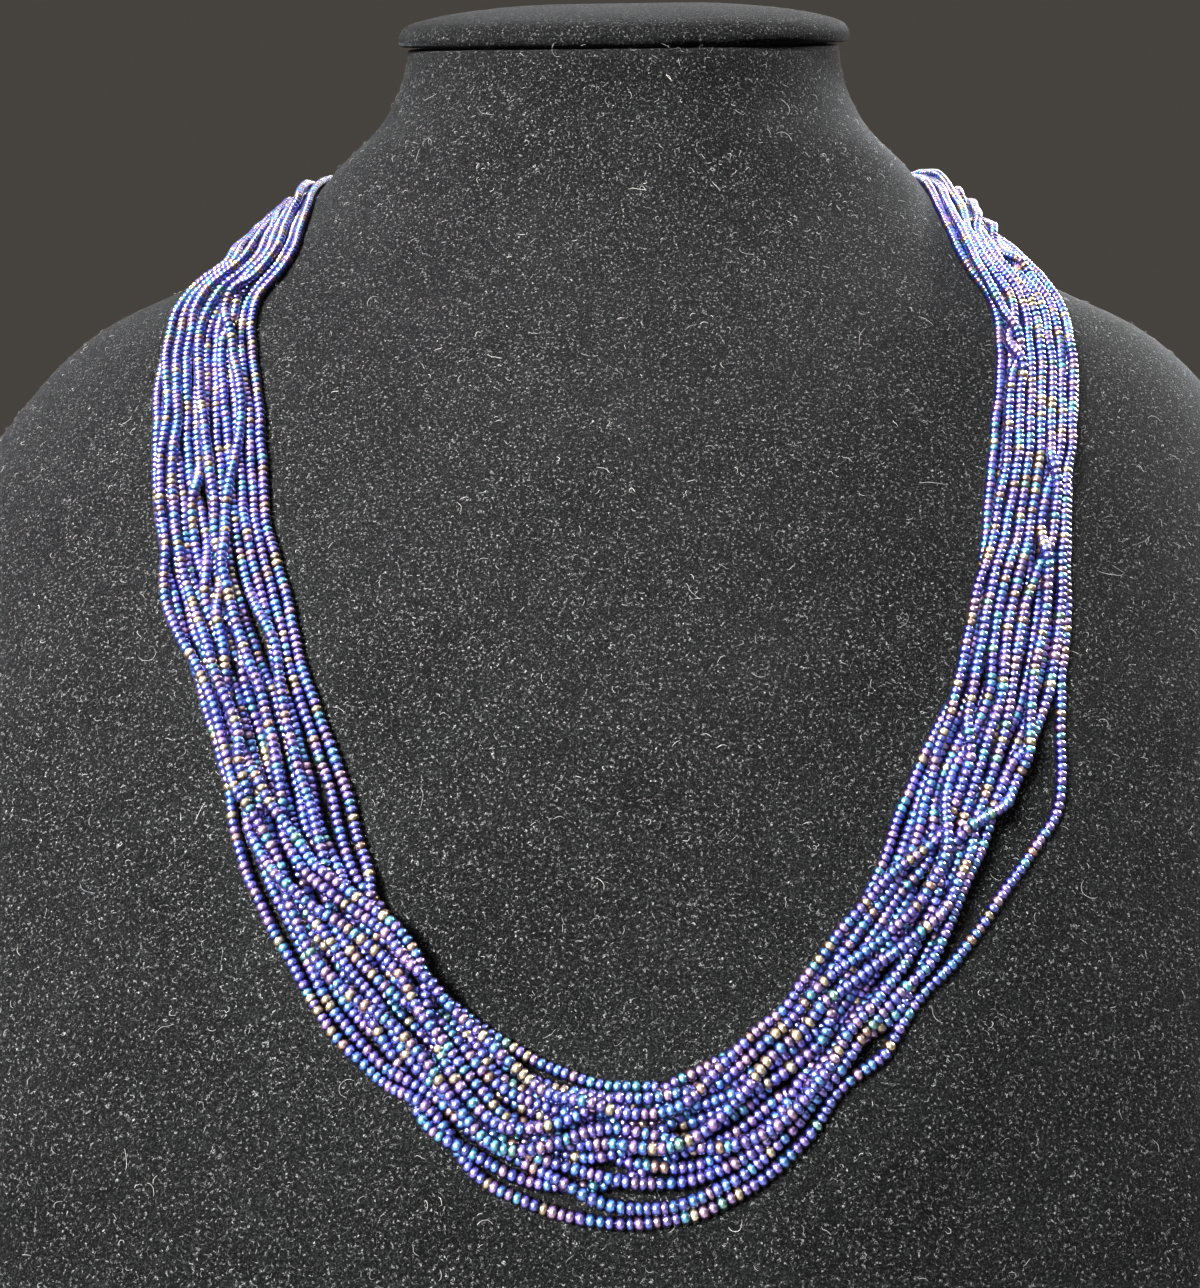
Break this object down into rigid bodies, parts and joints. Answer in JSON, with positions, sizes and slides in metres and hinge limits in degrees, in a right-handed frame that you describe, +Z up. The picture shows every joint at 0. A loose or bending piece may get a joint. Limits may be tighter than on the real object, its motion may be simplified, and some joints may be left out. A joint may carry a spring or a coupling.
{
  "type": "multi strand bead necklace on a neck bust",
  "caption": "Long strands of small round glass beads gathered into one soft rope, worn in a deep U by a black velvet neck bust that stands on its own flat base.",
  "frame": {"origin": "on the surface that the bust stands on, under the middle of the whole piece", "axes": "+Z up, the chest and the front of the necklace face -Y, +X to the right as seen from the front"},
  "size_m": [0.325, 0.2451, 0.296],
  "materials": {
    "velvet": "black velvet with a short dense pile and pale lint",
    "beads": "opaque glass beads with a metallic iris lustre, blue and violet",
    "metal": "plain satin metal"
  },
  "bodies": {
    "root": {"bust": "velvet", "neck_cap": "velvet", "clasp": "metal", "strand_01": "beads", "strand_02": "beads", "strand_03": "beads", "strand_04": "beads", "strand_05": "beads", "strand_06": "beads", "strand_07": "beads", "strand_08": "beads", "strand_09": "beads", "strand_10": "beads", "strand_11": "beads", "strand_12": "beads", "strand_13": "beads", "strand_14": "beads", "strand_15": "beads"}
  },
  "joints": []
}
